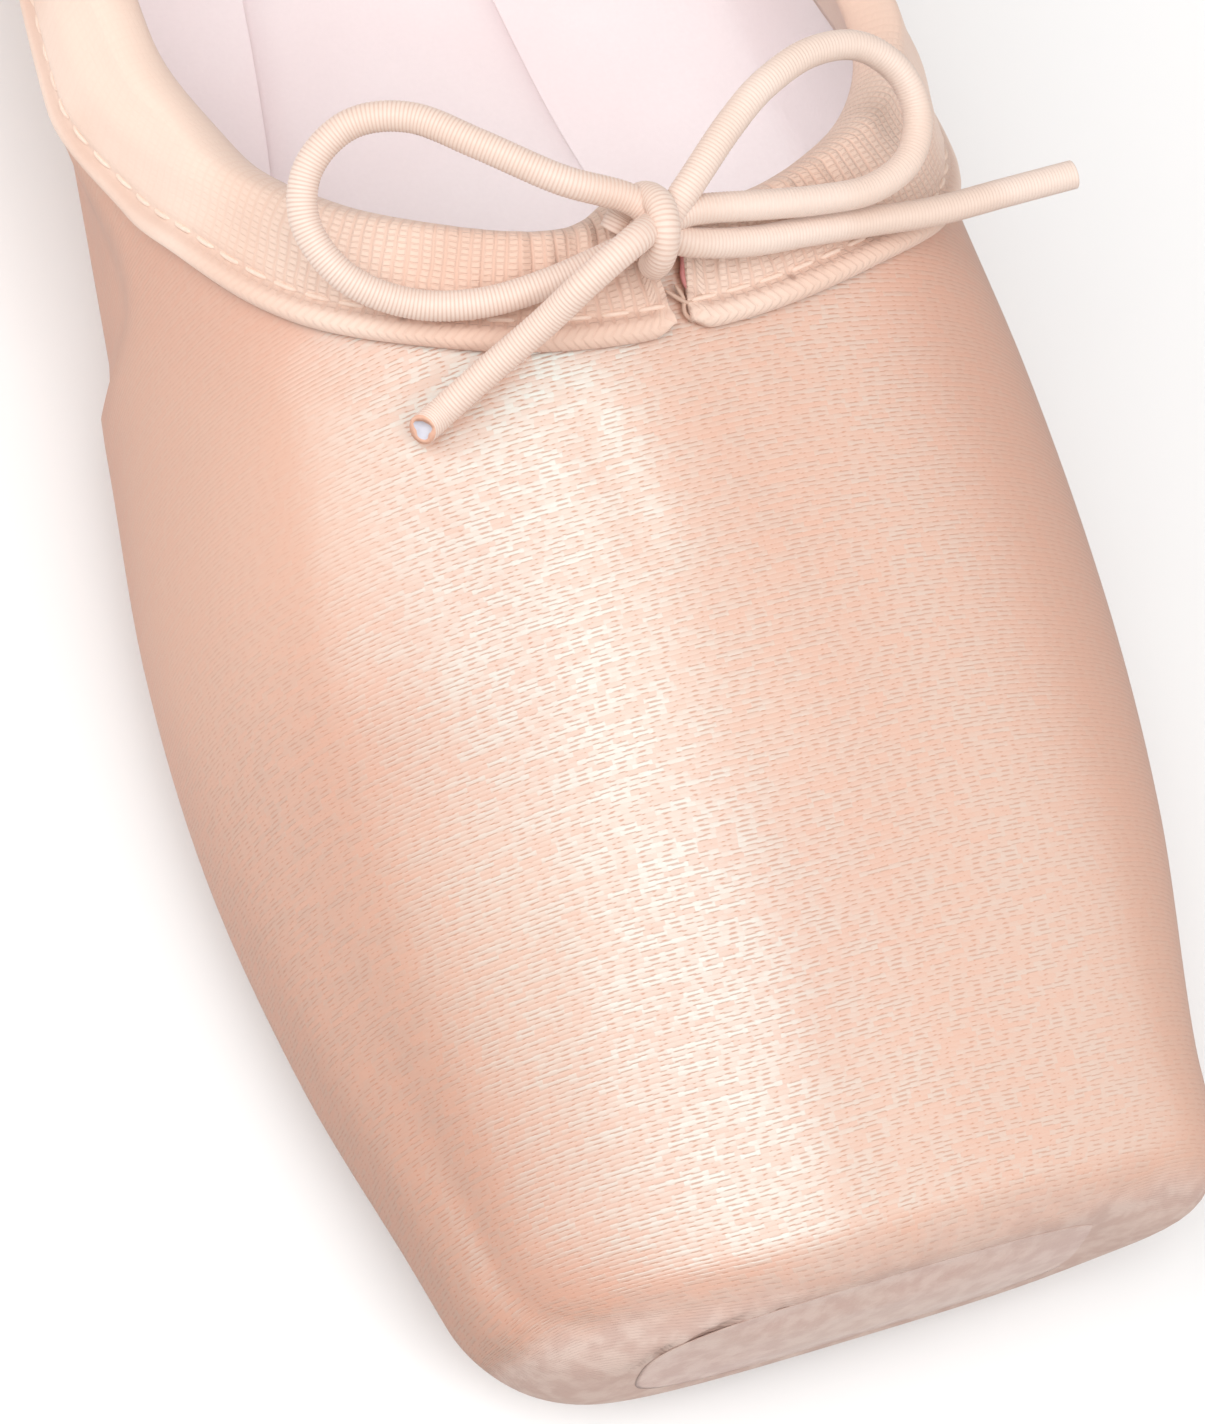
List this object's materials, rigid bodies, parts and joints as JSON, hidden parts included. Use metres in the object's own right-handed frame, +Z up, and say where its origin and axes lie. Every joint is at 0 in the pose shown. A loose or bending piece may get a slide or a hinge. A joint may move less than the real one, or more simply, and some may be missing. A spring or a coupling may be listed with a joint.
{
  "type": "pointe shoe",
  "caption": "Satin pointe shoe with a stiff flat-tipped toe box, narrow leather sole, soft quarters and a ribbed collar binding drawn up by an elastic cord tied in a bow.",
  "frame": {"origin": "middle of the shoe's footprint on the floor, bow left out", "axes": "+X toward the picture's right, +Y from toe to heel, +Z up from the floor"},
  "size_m": [0.076, 0.2296, 0.0603],
  "materials": {
    "satin": "pink satin, glossy across the yarn",
    "sole_leather": "matte natural leather",
    "lining": "soft pale cotton",
    "suede": "matte mottled suede",
    "tape": "ribbed cotton tape",
    "elastic": "thread-wrapped round elastic"
  },
  "bodies": {
    "root": {"upper": "satin", "outsole": "sole_leather", "insole": "lining", "toe_patch": "suede", "binding": "tape", "bow_knot": "elastic", "bow_loop_left": "elastic", "bow_loop_right": "elastic", "bow_end_left": "elastic", "bow_end_right": "elastic"}
  },
  "joints": []
}
